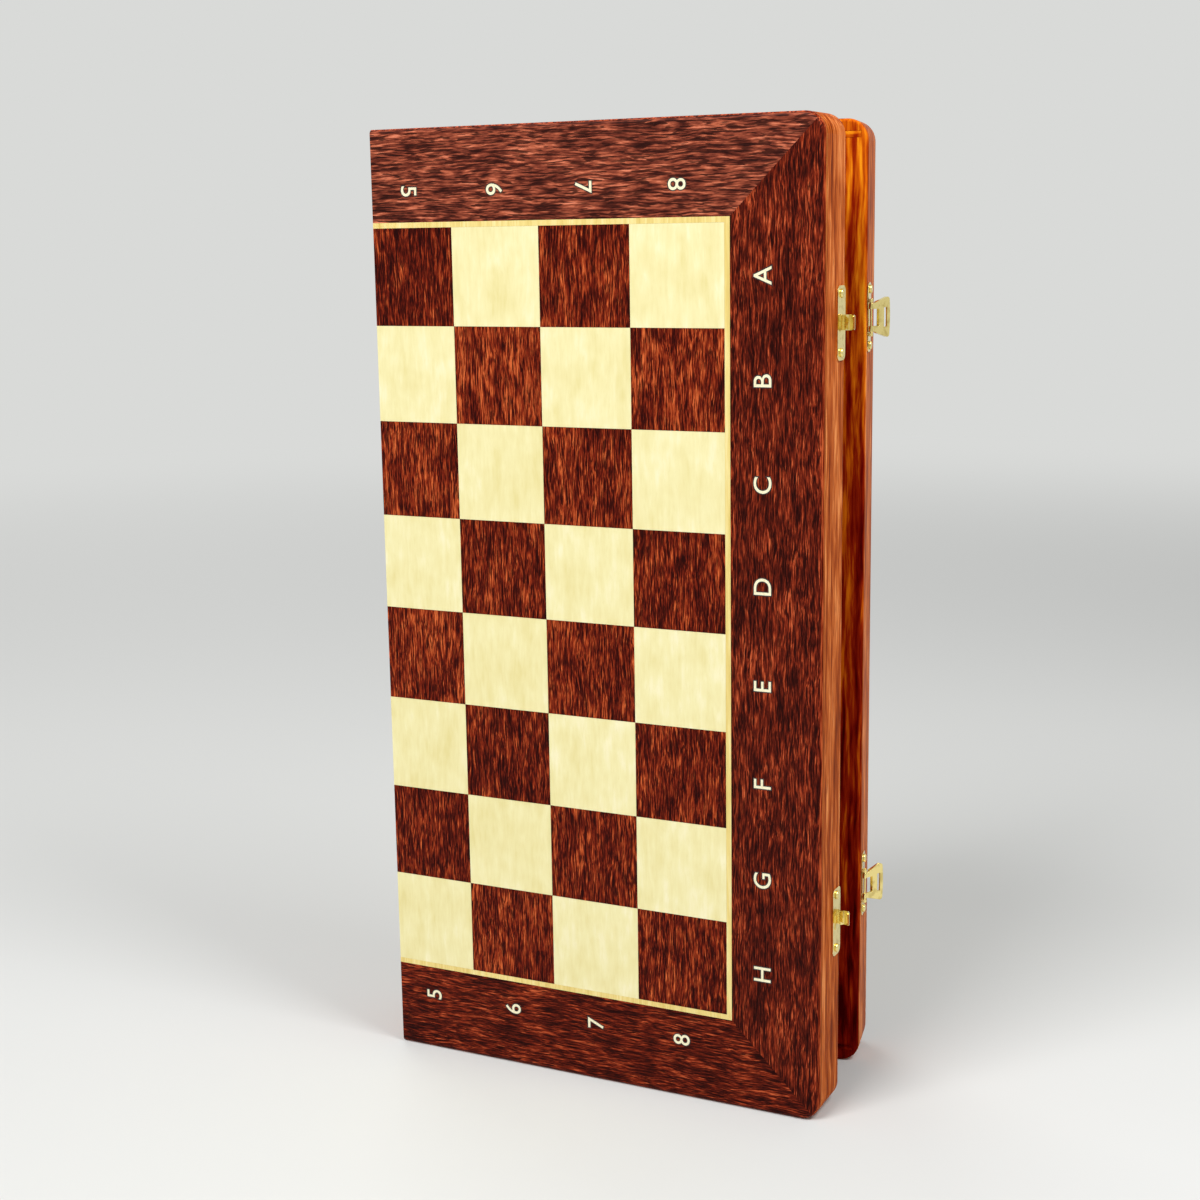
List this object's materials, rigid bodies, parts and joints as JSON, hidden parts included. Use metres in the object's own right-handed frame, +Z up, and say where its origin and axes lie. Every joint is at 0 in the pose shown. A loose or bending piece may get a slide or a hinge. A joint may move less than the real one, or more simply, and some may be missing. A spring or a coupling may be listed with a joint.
{
  "type": "folding chess case",
  "caption": "Folding wooden chess case with a veneered board on its outer faces, spine hinges and hook-and-flap clasps, standing on end and ajar.",
  "frame": {"origin": "middle of the front half's lower end, the face that it stands on", "axes": "+Z up the case's length, -Y out of the front half's playing face, +X towards the clasp side"},
  "size_m": [0.207, 0.0858, 0.4],
  "materials": {
    "rail_wood": "lacquered, orange brown",
    "plywood": "lacquered plywood",
    "dark_veneer": "satin lacquer over dark red-brown veneer",
    "light_veneer": "satin lacquer over pale veneer",
    "stringing": "pale inlaid line",
    "brass": "polished"
  },
  "bodies": {
    "front_half": {"front_clasp_rail": "rail_wood", "front_hinge_rail": "rail_wood", "front_bottom_rail": "rail_wood", "front_top_rail": "rail_wood", "front_panel": "plywood", "front_bottom_border": "dark_veneer", "front_top_border": "dark_veneer", "front_side_border": "dark_veneer", "front_stringing": "stringing", "front_dark_squares": "dark_veneer", "front_light_squares": "light_veneer", "upper_hinge_front_leaf": "brass", "lower_hinge_front_leaf": "brass", "upper_hinge_pin": "brass", "lower_hinge_pin": "brass", "front_hinge_screws": "brass", "upper_catch": "brass", "lower_catch": "brass", "catch_nails": "brass"},
    "back_half": {"back_clasp_rail": "rail_wood", "back_hinge_rail": "rail_wood", "back_top_rail": "rail_wood", "back_bottom_rail": "rail_wood", "back_panel": "plywood", "back_top_border": "dark_veneer", "back_bottom_border": "dark_veneer", "back_side_border": "dark_veneer", "back_stringing": "stringing", "back_dark_squares": "dark_veneer", "back_light_squares": "light_veneer", "upper_hinge_back_leaf": "brass", "lower_hinge_back_leaf": "brass", "back_hinge_screws": "brass", "upper_hasp_plate": "brass", "lower_hasp_plate": "brass", "upper_hasp_pin": "brass", "lower_hasp_pin": "brass", "hasp_nails": "brass"},
    "upper_flap": {"upper_hasp_flap": "brass"},
    "lower_flap": {"lower_hasp_flap": "brass"}
  },
  "joints": [
    {"name": "case_hinge", "type": "hinge", "parent": "front_half", "child": "back_half", "pos_m": [-0.0989, 0.0124, 0.2], "axis": [0, 0, 1], "range_deg": [-10.9, 169.1]},
    {"name": "upper_hasp", "type": "hinge", "parent": "back_half", "child": "upper_flap", "pos_m": [0.09627, 0.05207, 0.3214], "axis": [0, 0, 1], "range_deg": [-142, 23]},
    {"name": "lower_hasp", "type": "hinge", "parent": "back_half", "child": "lower_flap", "pos_m": [0.09627, 0.05207, 0.0801], "axis": [0, 0, 1], "range_deg": [-141, 24]}
  ]
}
